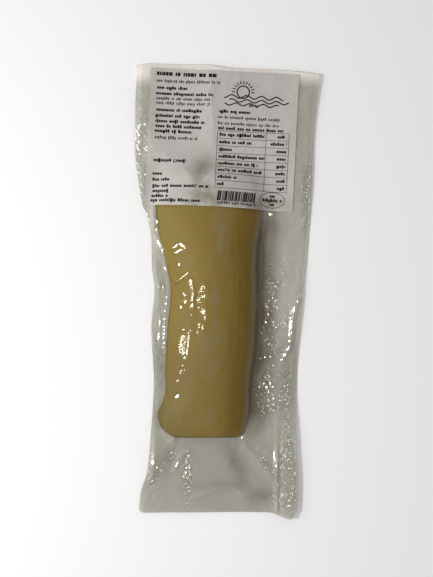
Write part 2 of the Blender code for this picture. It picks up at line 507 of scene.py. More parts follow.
# %% Small flats that all lean to the lamp: (place, half width, half length, turn if it has one)
FLATS = (
    # an arch, and what hangs below it
    ((-28.5, 24.6), 0.45, 1.9, -54), ((-26.2, 26.2), 0.6, 1.0, -70), ((-24.2, 25.0), 0.8, 1.7, 52),
    ((-26.9, 21.8), 0.4, 2.2, -60), ((-25.9, 14.7), 0.8, 0.9), ((-24.4, 7.7), 0.42, 4.0, -52),
    ((-29.4, -4.4), 0.6, 0.6), ((-25.0, -8.6), 1.0, 0.8, -60),
    # a chain
    ((-19.6, 8.0), 0.6, 1.1, -10), ((-19.6, 5.0), 1.1, 1.8, 10), ((-18.9, 1.4), 0.6, 1.3, 10),
    ((-18.7, -1.8), 0.8, 1.8), ((-18.8, -5.0), 0.8, 0.8), ((-18.9, -7.8), 0.9, 1.4),
    ((-22.9, -1.4), 0.9, 1.4, 15), ((-22.6, -5.6), 0.9, 1.5),
    # a cluster
    ((-13.0, 2.0), 1.4, 1.5), ((-14.5, 0.0), 0.8, 1.6, -25), ((-15.1, -4.2), 1.3, 2.1),
    ((-12.7, -2.8), 0.8, 2.0, -65), ((-15.1, -8.6), 0.6, 1.2, -60), ((-11.1, -8.3), 0.6, 1.2, 50),
    ((-13.1, -10.8), 1.3, 1.4), ((-11.5, -13.4), 0.7, 2.0, -15), ((-14.9, -18.2), 0.7, 1.6),
    ((-13.2, -19.4), 0.6, 1.6, -20), ((-15.8, -22.1), 0.6, 1.1, -30), ((-19.3, -12.6), 0.6, 0.7),
    # a large one, and what stands round it
    ((-25.6, -18.3), 0.6, 1.3, -60), ((-23.6, -20.7), 0.6, 0.6), ((-19.9, -21.3), 0.7, 0.8),
    ((-20.8, -24.9), 0.8, 1.9), ((-24.0, -29.2), 2.5, 6.4), ((-21.3, -29.8), 0.6, 5.0, -4),
    ((-22.8, -35.9), 0.8, 0.8), ((-24.0, -40.3), 0.45, 1.5, 42), ((-24.9, -43.4), 0.6, 1.8, -42),
    ((-26.9, -48.6), 0.6, 0.6), ((-27.2, -57.2), 0.9, 1.9, -50),
    # beside the loin
    ((-44.4, 42.8), 0.7, 1.3, 20), ((-43.2, 39.8), 0.6, 0.9), ((-37.5, 2.8), 0.6, 0.6),
    ((-35.4, 2.2), 0.6, 0.9), ((24.4, 42.9), 1.2, 0.7), ((-38.5, 38.7), 0.4, 1.9, 20),
    ((-38.9, 34.4), 0.4, 1.4, 10), ((-38.5, 31.0), 0.4, 1.2), ((-36.4, 25.4), 0.4, 4.2, 18),
    ((-35.3, 21.8), 0.4, 1.2, 20), ((-37.6, 26.9), 0.4, 3.0, 22), ((-34.3, 17.2), 0.4, 1.6, 25),
    ((-34.0, 12.8), 0.4, 1.5, 20), ((-38.4, -19.4), 0.4, 2.4), ((-37.2, -17.6), 0.4, 3.0),
    ((-37.7, -24.8), 0.4, 3.0, -6),
    # rungs along the loin's edge
    ((-33.3, -3.2), 0.7, 0.45, 20), ((-33.7, -6.7), 0.8, 0.7), ((-34.3, -10.7), 0.7, 0.5),
    ((-34.1, -13.8), 0.6, 0.4), ((-34.5, -15.3), 1.0, 0.45), ((-34.6, -17.6), 0.45, 0.6),
    ((-34.8, -19.5), 1.1, 0.4), ((-34.6, -21.3), 0.45, 0.7), ((-34.9, -23.5), 1.1, 0.45),
    ((-35.0, -25.5), 0.5, 0.7), ((-34.8, -28.4), 0.5, 0.8), ((-35.0, -30.8), 0.5, 0.6),
    ((-34.7, -33.6), 0.4, 0.4),
    # in the pocket
    ((26.4, -0.3), 0.6, 0.6), ((25.6, -3.3), 0.6, 0.6), ((23.5, -4.9), 0.6, 0.6),
    ((22.4, -8.3), 0.7, 0.7), ((23.7, -9.4), 0.6, 0.6), ((23.0, -12.8), 0.6, 0.6),
    ((21.7, -16.9), 0.7, 0.7), ((20.6, -19.4), 0.6, 0.6), ((19.2, -23.0), 0.7, 0.6),
    ((18.9, -37.0), 1.0, 0.55), ((21.5, -36.5), 1.0, 0.55), ((24.1, -36.0), 1.0, 0.55),
    ((25.9, -41.0), 0.6, 0.7), ((20.8, -51.4), 0.8, 0.9), ((22.2, -53.2), 0.9, 0.8),
    ((24.3, -50.9), 0.8, 0.7), ((18.1, -52.8), 0.7, 0.7), ((25.7, -52.6), 0.6, 0.8),
    ((23.3, -55.8), 0.7, 0.7), ((26.1, -59.2), 0.7, 0.7),
    # both ends of the long fold on the right flap
    ((40.3, -3.2), 0.5, 1.2, -40), ((38.6, -5.9), 0.5, 1.6, -27), ((37.2, -9.6), 0.5, 1.8, -14),
    ((34.0, -31.4), 0.5, 1.6, -24), ((32.0, -35.0), 0.5, 1.2, -32), ((30.6, -37.6), 0.7, 0.8, -30),
    # below the loin
    ((8.6, -80.6), 0.9, 0.7), ((26.4, -91.4), 0.6, 4.4, 4), ((27.2, -96.2), 0.7, 0.8),
    ((-40.8, -94.2), 1.0, 2.0), ((-38.6, -97.3), 0.7, 0.9), ((-36, -99), 0.6, 0.8),
    ((-42.6, -104.2), 0.8, 0.6), ((-41, -104.6), 0.8, 0.6), ((-27.6, -95.8), 0.5, 2.6, -23),
    ((-21.5, -88.3), 0.6, 0.7), ((-20.8, -91.3), 0.6, 0.7), ((-22.2, -94.9), 0.6, 0.7),
    ((-20.5, -97.4), 0.6, 0.7), ((-22.7, -100.2), 0.6, 0.7), ((-20.8, -103.0), 0.6, 0.6),
)
print(len(FLATS), "small flats")

# %% Where the film puckers on wet flesh: (place, half width, half length, depth, tilt to the left)
PUCKERS = (
    ((-22.4, 22.6), 1.4, 2.2, 0.14, 0.0),
    ((-19.4, 5.4), 1.5, 4.2, 0.14, 0.03),
    ((-19.2, -6.0), 1.1, 7.0, 0.14, 0.04),
    ((-22.9, -3.2), 1.4, 4.6, 0.14, 0.0),
    ((-12.8, 0.0), 1.8, 3.6, 0.16, 0.2),
    ((-13.4, -6.0), 3.2, 3.6, 0.16, 0.2),
    ((-12.2, -12.2), 2.6, 4.6, 0.16, 0.2),
    ((-14.6, -20.2), 1.8, 3.8, 0.16, 0.16),
    ((-23.7, -29.4), 3.0, 6.6, 0.10, 0.0),
    ((-20.6, -24.0), 1.2, 2.6, 0.10, 0.02),
    ((-24.6, -42.1), 1.7, 2.4, 0.12, 0.0),
)
print(len(PUCKERS), "puckers")

# %% Where the lattice shows, and patches of painted shade: (place, half width, half length, turn, strength)
HATCHES = (
    ((-47.5, 66), 4.5, 40, 0, 1.0),
    ((-41, -14), 3.0, 26, 0, 0.4),
    ((46, 52), 6.0, 24, 0, 0.7),
    ((22, -57), 7.0, 13, 0, 1.0),
    ((24, 2), 6.0, 16, -12, 0.8),
    ((24, -20), 6.0, 16, 12, 0.7),
    ((34, -20), 4.0, 30, 0, 0.35),
    ((33, -62), 4.0, 16, 0, 0.6),
    ((34, -92), 7.0, 11, 0, 0.9),
    ((22, -97), 3.0, 10, 40, 0.8),
    ((33, -115), 8.0, 9, 0, 0.9),
    ((-41, -99), 4.0, 13, 0, 0.9),
    ((-21.6, -106), 3.0, 15, 0, 1.0),
    ((-31, -90), 5.0, 7, 0, 0.5),
    ((0, -92), 16.0, 10, 0, 0.25),
)
# Patches of painted shade, where folds at the foot and the right flap look darker.
PAINTED_SHADE_SPOTS = (
    ((5.5, -96), 5.0, 14, 24, 0.55),
    ((19, -113), 7, 4.5, 20, 0.5),
    ((35, -45), 5, 18, 0, 0.22),
    ((-4, -107), 13, 2.4, 5, 0.3),
    ((48, 58), 8.0, 15, 0, 0.35),
    ((-32, -96), 3.0, 9, 0, 0.1),
)
print(len(HATCHES), "patches of lattice and", len(PAINTED_SHADE_SPOTS), "painted_shades")

# %% [markdown]
# ## The loin's outline
#
# The loin is a strip of dried muscle, cut square at both ends, with one lobe left hanging at its
# foot. Both the film and the flesh follow its outline, so it is kept once, as stations of (place
# along the pouch, place across it) in millimetres.

# %% The loin's stations
COD_HEAD = 68 * MM
COD_FOOT = -81 * MM
COD_LEFT = (
    (-81, -29), (-79, -32), (-76, -35.8), (-72, -37.8), (-68, -38.6), (-62, -36.2), (-57, -34.4),
    (-45, -34.4), (-20, -33), (4, -31.5), (14, -33.4), (25, -36), (44, -39.5), (60, -37), (68, -33),
)
COD_RIGHT = (
    (-81, 6.0), (-79, 8.4), (-75.4, 10.2), (-50, 13), (-30, 15.5), (-5, 16.5), (25, 17), (44, 19.5),
    (60, 18), (68, 13),
)
print("the loin is", round((COD_HEAD - COD_FOOT) / MM), "mm long")

# %% [markdown]
# ## The heights of both sheets
#
# The frame's solid gives the large form: plumb lines are dropped on it and the heights are then
# smoothed, so that its coarse facets go. The seams also ripple, the film gathers where it is
# drawn in beside the loin, and at the foot one side seam is folded back over the sheet.

# %% Where the sheets lie together
PLEAT_X = 27.2 * MM
PLEAT_RISE = 1.5 * MM
LOBE_LINE = -34.3 * MM
OWN_SHARE, NEIGHBOUR_SHARE = 0.4, 0.15
RIM = 3 * MM


def smoothed(heights, rounds):
    """Each height drawn towards its neighbours', with the rim left where it is."""
    for _ in range(rounds):
        inner = heights[1:-1, 1:-1]
        ring = heights[:-2, 1:-1] + heights[2:, 1:-1] + heights[1:-1, :-2] + heights[1:-1, 2:]
        heights = heights.copy()
        heights[1:-1, 1:-1] = inner * OWN_SHARE + ring * NEIGHBOUR_SHARE
    return heights


def pleat(x, y):
    """The frame's pleat is a ramp. This turns it into a fold with a crisp edge."""
    crisp = smooth_step(PLEAT_X - 0.4 * MM, PLEAT_X + 0.5 * MM, x)
    return PLEAT_RISE * (crisp - step_mm(26.6, 29.8, x)) * step_mm(62, 92, -y)


def seam_share(x, y):
    """1 where the two sheets lie together, and 0 where the front sheet is on the loin."""
    left = step_mm(-0.9, 0.2, through(COD_LEFT, y) - x)
    right = step_mm(0, 8, x - through(COD_RIGHT, y))
    head = smooth_step(COD_HEAD, COD_HEAD + 9 * MM, y)
    foot = smooth_step(-COD_FOOT, 6 * MM - COD_FOOT, -y)
    return 1 - (1 - left) * (1 - right) * (1 - head) * (1 - foot)


def rim_share(x, y):
    """0 on the pouch's rim, and 1 everywhere that is further in than the weld's soft edge."""
    (left, right), (foot, head) = sides(y), ends(x)
    inside = np.minimum(np.minimum(x - left, right - x), np.minimum(y - foot, head - y))
    return smooth_step(0, RIM, inside)


def lobe(x, y):
    """1 on the lobe that hangs at the foot of the loin's left edge."""
    side = smooth_step(LOBE_LINE + 0.3 * MM, LOBE_LINE - 0.3 * MM, x)
    side *= step_mm(-0.4, 0.4, x - through(COD_LEFT, y))
    return side * step_mm(-57, -60, y) * step_mm(-82, -79, y)


# %% How the film swells, ripples and is drawn in
RAMP_REACH = 0.85 * MM
RAMP_SLOPE = 1.1
FLAP_RISE = 0.6 * MM
RELEASE = 14 * MM


def swells(x, y):
    """Slow unevenness, which both sheets share."""
    return MM * (grain(x, y, 13, 17, 2.5) * 0.35 + grain(x, y, 6, 8, 7.1) * 0.16)


def ripples(x, y, seam):
    """Unevenness of the front sheet, stronger where nothing is under it."""
    free = grain(x, y, 4.2, 5.5, 5.7, sharp=True) * 0.22 + grain(x, y, 2.2, 2.8, 1.3) * 0.08
    tight = grain(x, y, 3.4, 16, 4.2, sharp=True) * 0.03
    return swells(x, y) * seam + MM * (free * seam + tight * (1 - seam))


def drawn_in(x, y, top, bottom):
    """The film's large form, drawn in against the loin's left edge with a short ramp."""
    beside = through(COD_LEFT, y) - x
    cap = bottom + FLAP_RISE + RAMP_SLOPE * np.clip(RAMP_REACH - beside, 0, RAMP_REACH)
    free = step_mm(0.3, -0.9, beside) + step_mm(34, 42, y)
    return np.minimum(top, cap + RELEASE * (free + step_mm(-76, -80, y)))


# %% Strokes and small flats together
# The lamp hangs to the left, a little nearer the foot. How far a flat leans that way: in the
# middle of the pack, and more for each millimetre to the right of it, or towards the head.
LEAN_LEFT = (0.39, 0.0018)
LEAN_DOWN = (0.043, 0.002)
FLAT_REACH = 1.5
LEAST_FLAT = 0.9
FLAT_LIFT = 0.8


def strokes(x, y):
    """All creases, folds and puckers together."""
    height = sum(crease(x, y, *stroke) for stroke in CREASES)
    height = height + sum(fold(x, y, *stroke) for stroke in FOLDS)
    wet = grain(x, y, 1.3, 2.0, 6.6) + 0.9 * grain(x, y, 2.4, 4.6, 8.8, sharp=True)
    for place, half_width, half_length, depth, tilt in PUCKERS:
        height = height + depth * MM * wet * patch(x, y, place, half_width, half_length)
        wide = patch(x, y, place, 1.6 * half_width, 1.3 * half_length)
        height = height + tilt * (x - place[0] * MM) * wide
    return height


def flattened(x, y, height, seam):
    """Heights with the small flats pressed into them. On the seams they stand up a little."""
    for place, half_width, half_length, *turn in FLATS:
        a, b = x - place[0] * MM, y - place[1] * MM
        nearest = np.argmin(a * a + b * b)
        left = LEAN_LEFT[0] + LEAN_LEFT[1] * place[0]
        down = LEAN_DOWN[0] + LEAN_DOWN[1] * place[1]
        reach = [max(FLAT_REACH * half, LEAST_FLAT) for half in (half_width, half_length)]
        lift = FLAT_LIFT * left * reach[0] * MM * seam.ravel()[nearest]
        middle = height.ravel()[nearest] + lift
        share = smooth_step(0.1, 0.5, patch(x, y, place, *reach, *turn))
        height = height + (middle + left * a + down * b - height) * share
    return height


# %% The front and back sheets' heights
FILM_GAP = 0.3 * MM
LEAST_GAP = 0.3 * MM
FLOOR_GAP = 0.05 * MM
FLAT_GAP = 0.02 * MM
HEADROOM = 0.15 * MM
LOBE_DROP = 0.9 * MM
FACET_ROUNDS = 40
RIM_SHARE = 0.1
RIM_HOLD = 0.25
BACK_SHARE = 0.7


def sheet_heights(x, y):
    """The heights of the front and the back sheet over the same places."""
    seam, inner, folded = seam_share(x, y), rim_share(x, y), pleat(x, y)
    bottom = smoothed(heights_on(POUCH_SURFACE, x, y, UP), FACET_ROUNDS)
    top = drawn_in(x, y, smoothed(heights_on(POUCH_SURFACE, x, y), FACET_ROUNDS), bottom)
    held, marks = RIM_HOLD + (1 - RIM_HOLD) * inner, strokes(x, y)
    uneven = BACK_SHARE * seam * inner * held * (marks + swells(x, y))
    back = np.maximum(bottom + folded + uneven, 0) + FLOOR_GAP
    front = top - FILM_GAP + folded + held * (marks + ripples(x, y, seam)) - LOBE_DROP * lobe(x, y)
    front = back + np.maximum(front - back, LEAST_GAP) * np.maximum(inner, RIM_SHARE)
    front = np.maximum(flattened(x, y, front, seam), back + FLAT_GAP)
    return np.minimum(front, HIGH.z - HEADROOM), back, seam


# %% Where the film is wet and glossy
WET_GLOSS = 0.35
FLAT_GLOSS = 0.85
CREASE_GLOSS = 0.55
FOLD_GLOSS = 1.5


def wetness(x, y):
    """1 where the film clings to wet flesh."""
    return np.clip(sum(patch(x, y, *pucker[:3]) for pucker in PUCKERS), 0, 1)


def gloss(x, y):
    """More than a half where the film is stretched smooth and shines, and less where it's dull."""
    shine = sum(crease(x, y, path, PER_MM, CREASE_GLOSS * half) for path, _, half in CREASES)
    shine = shine * (1 - seam_share(x, y)) + WET_GLOSS * wetness(x, y)
    for place, half_width, half_length, *turn in FLATS:
        shine = shine + patch(x, y, place, FLAT_GLOSS * half_width, FLAT_GLOSS * half_length, *turn)
    for path, half_width, _ in FOLDS:
        shine = shine + fold(x, y, path, FOLD_GLOSS * half_width, FOLD_GLOSS / (half_width * MM))
    return shine


# %% Where the film is clear, hazy, embossed, or darkened by brine and painted shade
# How far the brine tint and the painted shade reach beside the loin, how their edge wanders, and over what
# they fade.
BRINE_SHADE_EDGE, BRINE_SHADE_WANDER, BRINE_SHADE_FADE = 17 * MM, 3 * MM, 15 * MM
# How dark the line of painted shade along the loin's left edge is.
LIP_SHADE = 0.4
WELD_Y, WELD_WAVE, WELD_HALF = -114 * MM, 2.2 * MM, 2.6 * MM


def under_loin(x, y):
    """1 where the loin lies on the back sheet, which is then as good as clear."""
    inside = np.minimum(x - through(COD_LEFT, y), through(COD_RIGHT, y) - x)
    return step_mm(1, 4, np.minimum(inside, np.minimum(y - COD_FOOT, COD_HEAD - y)))


def haziness(x, y):
    """1 where the two sheets are fused and milky, and 0 where they only touch."""
    left = step_mm(-0.6, 0.3, through(COD_LEFT, y) - x)
    left *= 0.45 * step_mm(-94, -76, y) + 0.4 * step_mm(-30, 30, y)
    flap = (0.1 + 0.3 * step_mm(-60, 10, y)) * step_mm(27, 35, x)
    foot_weld, head_weld = 0.4 * step_mm(107, 113, -y), step_mm(117, 120, y)
    return np.maximum(np.maximum(left, flap), np.maximum(foot_weld, head_weld))


def brine_and_shade(x, y):
    """Brine tint and painted shade: the pocket beside the loin, darker in its shadow, a line of painted
    shade along the loin's left edge, and patches of painted shade.
    """
    # Beside the loin's right edge: a brine tint, and painted shade where the loin's shadow falls.
    beside = x - through(COD_RIGHT, y)
    edge = BRINE_SHADE_EDGE + BRINE_SHADE_WANDER * grain(x, y, 9, 14, 3.9)
    reach = step_mm(-5, 0.5, beside) * smooth_step(edge, edge - BRINE_SHADE_FADE, beside)
    reach *= step_mm(-90, -66, y) * step_mm(70, 30, y)
    # A thin line of painted shade along the loin's left edge.
    outside = through(COD_LEFT, y) - x
    lip = LIP_SHADE * step_mm(-0.4, 0.1, outside) * step_mm(1.7, 0.7, outside)
    lip *= step_mm(-82, -78, y) * step_mm(70, 50, y)
    # Patches of painted shade on folds at the foot and on the right flap.
    painted_shades = sum(share * patch(x, y, *spot) for *spot, share in PAINTED_SHADE_SPOTS)
    return np.maximum(np.maximum(reach, lip), painted_shades)


def hatch(x, y):
    """1 where the lattice shows through."""
    worn = 0.75 + 0.9 * grain(x, y, 5, 7, 2.2)
    return np.clip(worn * sum(share * patch(x, y, *spot) for *spot, share in HATCHES), 0, 1)


def ribs(x, y):
    """1 where the welding jaws left fine ribs, in a wavy band at the foot and in one corner."""
    weld = WELD_Y + WELD_WAVE * np.cos((x + 12 * MM) / (13 * MM))
    near = np.exp(-(((y - weld) / WELD_HALF) ** 2))
    return 0.8 * patch(x, y, (47, 110), 5, 8) + near * patch(x, y, (-12, -115), 20, 40)


# %% [markdown]
# ## The film
#
# The front sheet gets a fine grid, because its creases show, and the back sheet a coarse one.
# They could stay two loose sheets, but a pouch is a closed thing, so their rims are bridged and
# the film is one closed skin with the loin inside.

# %% Make the sheets
FRONT_CELLS = (180, 452)
BACK_CELLS = (72, 180)
BACK_CLEAR = 0.65


def make_sheet(name, cells, is_front):
    """A grid between the pouch's edges, at the height of its front or of its back sheet."""
    sheet, across, along = grid(name, *cells)
    x, y = in_outline(across, along)
    front, back, seam = sheet_heights(x, y)
    move_points(sheet, x, y, front if is_front else back)
    milky = np.maximum(seam, brine_and_shade(x, y)) if is_front else 1 - BACK_CLEAR * under_loin(x, y)
    paint(sheet, "seam", milky)
    for share in (haziness, brine_and_shade, wetness, gloss, hatch, ribs):
        paint(sheet, share.__name__, share(x, y))
    return sheet


front_sheet = make_sheet("vacuum_film", FRONT_CELLS, True)
back_sheet = make_sheet("back_sheet", BACK_CELLS, False)
for sheet in (front_sheet, back_sheet):
    points = points_of(sheet)
    print(sheet.name, "from", (points.min(0) / MM).round(1), "to", (points.max(0) / MM).round(1))

# %% Join them into one closed skin
FRONT_SURFACE = surface_of(front_sheet)
on_whole_mesh(back_sheet, bpy.ops.mesh.flip_normals)
# Joining merges slots of one material, so a stand-in for each finish keeps the two slots apart.
stand_ins = [bpy.data.materials.new(name) for name in ("front film", "back film")]
for number, sheet in enumerate((front_sheet, back_sheet)):
    for stand_in in stand_ins:
        sheet.data.materials.append(stand_in)
    sheet.data.polygons.foreach_set("material_index", [number] * len(sheet.data.polygons))

film = pick(front_sheet, back_sheet)
bpy.ops.object.join()
bpy.ops.object.mode_set(mode="EDIT")
bpy.ops.mesh.select_mode(type="EDGE")
bpy.ops.mesh.select_all(action="DESELECT")
bpy.ops.mesh.select_non_manifold()
bpy.ops.mesh.bridge_edge_loops()
bpy.ops.object.mode_set(mode="OBJECT")
bpy.ops.object.shade_smooth()


def open_edges(thing):
    """Counts the triangles of a mesh and the edges at which its skin isn't closed."""
    mesh = bmesh.new()
    mesh.from_mesh(thing.data)
    faces, count = len(mesh.calc_loop_triangles()), sum(not edge.is_manifold for edge in mesh.edges)
    mesh.free()
    return f"{faces} triangles, {count} open edges"


print(film.name, open_edges(film))

# %% [markdown]
# ## The loin
#
# Under the film lies the fish itself: dense, dry and amber, with its fibres along it. It could be
# sculpted, but the film is drawn tight on it, so its top is simply the film's underside. A
# cylinder along the pouch is cut into many rings, and each ring is then pressed to the loin's
# width and to the height of the film above it. Its ends are rounded over the last few millimetres.

# %% Cut a cylinder into rings
RING_POINTS = 112
RING_CUTS = 296

bpy.ops.mesh.primitive_cylinder_add(
    vertices=RING_POINTS, radius=1, depth=1, rotation=(math.radians(90), 0, 0)
)
cod = named("cod_loin")
bpy.ops.object.transform_apply(rotation=True)
bpy.ops.object.mode_set(mode="EDIT")
bpy.ops.mesh.select_mode(type="EDGE")
bpy.ops.mesh.select_all(action="DESELECT")
bpy.ops.object.mode_set(mode="OBJECT")
for edge in cod.data.edges:
    a, b = (cod.data.vertices[i].co for i in edge.vertices)
    edge.select = abs(a.y - b.y) > 0.5
bpy.ops.object.mode_set(mode="EDIT")
bpy.ops.mesh.subdivide_edgering(
    number_cuts=RING_CUTS, interpolation="LINEAR", profile_shape_factor=0
)
bpy.ops.object.mode_set(mode="OBJECT")
print(cod.name, "has", len(cod.data.vertices), "points in", RING_CUTS + 2, "rings")

# %% Press the rings to the loin's form
COD_INSET = 0.15 * MM
COD_FLOOR = 0.3 * MM
COD_CLEARANCE = 0.22 * MM
END_ROUND = 2.4 * MM
END_INSET = 1.0 * MM
LEAST_END = 0.3
FIBRE_RISE, DIMPLE_RISE = 0.05 * MM, 0.04 * MM
WIDEST_AT = 0.25
SQUARENESS = 0.3
SMOOTH_ANGLE = math.radians(50)

shares = points_of(cod)
order = np.lexsort((np.arctan2(shares[:, 2], shares[:, 0]), shares[:, 1].round(5)))
rings = shares[order].reshape(RING_CUTS + 2, RING_POINTS, 3)
sideways, upward = rings[..., 0], rings[..., 2]
y = COD_FOOT + (rings[..., 1] + 0.5) * (COD_HEAD - COD_FOOT)
from_end = np.minimum(y - COD_FOOT, COD_HEAD - y)
rounding = np.sqrt(1 - (1 - np.clip(from_end / END_ROUND, 0, 1)) ** 2)
rounding = LEAST_END + (1 - LEAST_END) * rounding
inset = COD_INSET + END_INSET * (1 - rounding)
left, right = through(COD_LEFT, y) + inset, through(COD_RIGHT, y) - inset
x = (left + right) / 2 + (right - left) / 2 * sideways
roof = heights_on(FRONT_SURFACE, x, y) - COD_CLEARANCE
roof += FIBRE_RISE * grain(x, y, 1.8, 15, 2.2) + DIMPLE_RISE * grain(x, y, 3.6, 5, 6.1)
roof = COD_FLOOR + (roof - COD_FLOOR) * rounding
lower_side = np.minimum(roof[:, :1], roof[:, RING_POINTS // 2, None])
widest = COD_FLOOR + WIDEST_AT * (lower_side - COD_FLOOR)
reach = np.abs(upward) ** SQUARENESS
above, below = (roof - widest) * reach, (widest - COD_FLOOR) * reach
z = np.where(upward > 0, widest + above, widest - below)
pressed = np.empty_like(shares)
pressed[order] = np.stack((x, y, z), axis=-1).reshape(-1, 3)
x, y, z = pressed.T
move_points(cod, x, y, z)
on_whole_mesh(cod, bpy.ops.mesh.normals_make_consistent, inside=False)
bpy.ops.object.shade_smooth_by_angle(angle=SMOOTH_ANGLE)
left, right = through(COD_LEFT, y), through(COD_RIGHT, y)
paint(cod, "across", (x - left) / (right - left))
paint(cod, "along", (y - COD_FOOT) / (COD_HEAD - COD_FOOT))
paint(cod, "lobe", lobe(x, y))
print(cod.name, open_edges(cod), "top at", round(z.max() / MM, 1), "mm")

# %% [markdown]
# ## The label
#
# The label is one rectangle of matt paper, stuck a little askew across the head of the pouch. It
# follows the film below, but paper is stiffer than film, so small wrinkles don't print through.
# A grid of its size is dropped on the film and smoothed, and gets its thickness last.

# %% Lay the paper
LABEL_SIZE = Vector((82, 76)) * MM
LABEL_TURN = math.radians(-2.8)
LABEL_CELLS = (110, 102)
LABEL_ROUNDS = (14, 4)
PAPER_GAP = 0.1 * MM
PAPER_THICKNESS = 0.13 * MM
# Where the paper is darker and more olive: (place, half width, half length).
DARKER_SPOTS = (((-12, 50), 13, 7), ((-13, 66), 6, 9), ((18, 48), 14, 4))
label_low, label_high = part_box("paper_label")
LABEL_CENTRE = ((label_low + label_high) / 2).xy


def on_label(u, v):
    """A place right and down from the label's top left corner becomes a place on the pack."""
    a, b = u - LABEL_SIZE.x / 2, LABEL_SIZE.y / 2 - v
    c, s = math.cos(LABEL_TURN), math.sin(LABEL_TURN)
    return LABEL_CENTRE.x + a * c - b * s, LABEL_CENTRE.y + a * s + b * c


paper, across, along = grid("label_paper", *LABEL_CELLS)
x, y = on_label(across * LABEL_SIZE.x, (1 - along) * LABEL_SIZE.y)
film_height = heights_on(FRONT_SURFACE, x, y)
paper_height = film_height
for rounds in LABEL_ROUNDS:
    paper_height = np.maximum(smoothed(paper_height, rounds), film_height)
move_points(paper, x, y, paper_height + PAPER_GAP)
thicken(paper, PAPER_THICKNESS)
bpy.ops.object.shade_smooth_by_angle(angle=SMOOTH_ANGLE)
PAPER_SURFACE = surface_of(paper)
x, y, _ = points_of(paper).T
paint(paper, "darker_patches", sum(patch(x, y, *spot) for spot in DARKER_SPOTS))
print(paper.name, open_edges(paper), "centre at", [round(value / MM, 1) for value in LABEL_CENTRE])

# %% [markdown]
# ## The print
#
# The print is black and of four kinds: lines of type, a table, a block of stripes with an oval
# beside it, and a picture at the top right. No words are set here. Each letter is a plain block,
# as printers do when they lay out a page before its text is known, and the picture is a plain sun
# over waves. The ink could be painted by the paper's finish, but thin solid ink stays sharp.

# %% Two stamps
RULE_CELLS = 64
INK_GAP = 0.035 * MM
INK_THICKNESS = 0.015 * MM

bpy.ops.mesh.primitive_plane_add(size=1)
block_stamp = named("block_stamp")
bpy.ops.mesh.primitive_grid_add(x_subdivisions=RULE_CELLS, y_subdivisions=1, size=1)
rule_stamp = named("rule_stamp")
ink = bmesh.new()


def stamp(pattern, place):
    """Copies a stamp into the ink. place turns its shares, from -0.5 to 0.5, into u and v in mm."""
    before = len(ink.verts)
    ink.from_mesh(pattern.data)
    ink.verts.ensure_lookup_table()
    for point in ink.verts[before:]:
        u, v = place(point.co.x, point.co.y)
        x, y = on_label(u * MM, v * MM)
        point.co = (x, y, height_on(PAPER_SURFACE, x, y) + INK_GAP)


def block(u, v, width, height):
    """A plain block with its lower left corner at u and v."""
    stamp(block_stamp, lambda a, b: (u + (a + 0.5) * width, v - (b + 0.5) * height))


def line(path, weight):
    """A line of this weight along a path, which takes a share from 0 to 1."""
    def place(a, b):
        share, step = a + 0.5, 0.5 / RULE_CELLS
        before, after = Vector(path(share - step)), Vector(path(share + step))
        run = (after - before).normalized()
        middle = (before + after) / 2
        return middle.x + run.y * b * weight, middle.y - run.x * b * weight

    stamp(rule_stamp, place)


def rule(u, v, to_u, to_v, weight):
    """A straight line between two places."""
    line(lambda share: (u + (to_u - u) * share, v + (to_v - v) * share), weight)


# %% Lines of type
TYPE = {
    # letter height, letter width, gap between letters, word gap
    "title": (2.0, 1.5, 0.28, 1.4),
    "bold": (1.75, 1.1, 0.2, 1.0),
    "thin": (1.55, 0.58, 0.34, 0.95),
}
LETTER_WIDTHS, LETTER_HEIGHTS = (0.6, 0.9, 1.0, 1.0, 1.25), (0.72, 0.72, 0.72, 1.0)
DESCENT, DESCENDING = 0.3, 0.1
order_of_letters = random.Random(7)


def type_line(u, v, length, kind):
    """One line of blocks whose widths, heights and word lengths vary as letters do."""
    height, width, gap, word_gap = TYPE[kind]
    place, left_in_word = u, order_of_letters.randint(3, 8)
    while place < u + length:
        wide = width * order_of_letters.choice(LETTER_WIDTHS)
        tall = height * order_of_letters.choice(LETTER_HEIGHTS)
        if kind == "title":
            tall = height
        drop = height * DESCENT * (kind != "title" and order_of_letters.random() < DESCENDING)
        block(place, v + drop, min(wide, u + length - place), tall + drop)
        place += wide + gap
        left_in_word -= 1
        if left_in_word == 0:
            place += word_gap
            left_in_word = order_of_letters.randint(2, 9)


LEFT_LINES = (
    # a line's start, right and down from the label's corner, its length and its kind
    (3.3, 4.0, 33.3, "title"), (3.6, 7.6, 35.0, "thin"), (3.8, 11.5, 16.7, "bold"),
    (3.4, 14.7, 31.7, "bold"), (3.6, 17.3, 31.0, "thin"), (3.6, 19.8, 31.0, "thin"),
    (4.0, 23.7, 25.5, "bold"), (3.6, 26.9, 24.4, "bold"), (3.7, 29.9, 27.2, "bold"),
    (3.9, 32.7, 25.5, "bold"), (3.7, 35.4, 20.3, "bold"), (3.9, 38.8, 23.5, "thin"),
    (3.7, 51.6, 17.7, "bold"), (3.5, 59.1, 5.5, "bold"), (3.6, 62.5, 10.0, "bold"),
    (3.8, 66.1, 31.1, "bold"), (4.0, 68.9, 10.0, "bold"), (3.5, 71.7, 9.5, "bold"),
    (3.1, 74.1, 27.7, "bold"),
)
RIGHT_LINES = (
    (55.0, 19.4, 5.0, "thin"), (38.7, 23.2, 17.2, "bold"), (38.3, 26.3, 34.4, "thin"),
    (38.4, 29.6, 33.9, "thin"), (38.6, 32.4, 36.1, "bold"),
)
for entry in LEFT_LINES + RIGHT_LINES:
    type_line(*entry)
print(len(LEFT_LINES + RIGHT_LINES), "lines of type")

# %% The table, the stripes and the oval
TABLE = {"left": 38.4, "right": 78.1, "top": 33.1, "bottom": 65.6, "divider": 65.4}
LEFT_MARGIN, RIGHT_MARGIN, BASELINE = 1.1, 1.2, 0.7
THIN_RULE, OVAL_RULE = 0.22, 0.28
ENTRIES = (
    # the length of a row's name and of its amount
    (25.0, 5.2), (18.0, 8.8), (7.8, 5.4), (25.5, 5.0),
    (22.0, 5.0), (24.4, 5.4), (10.5, 4.6), (3.6, 4.2),
)

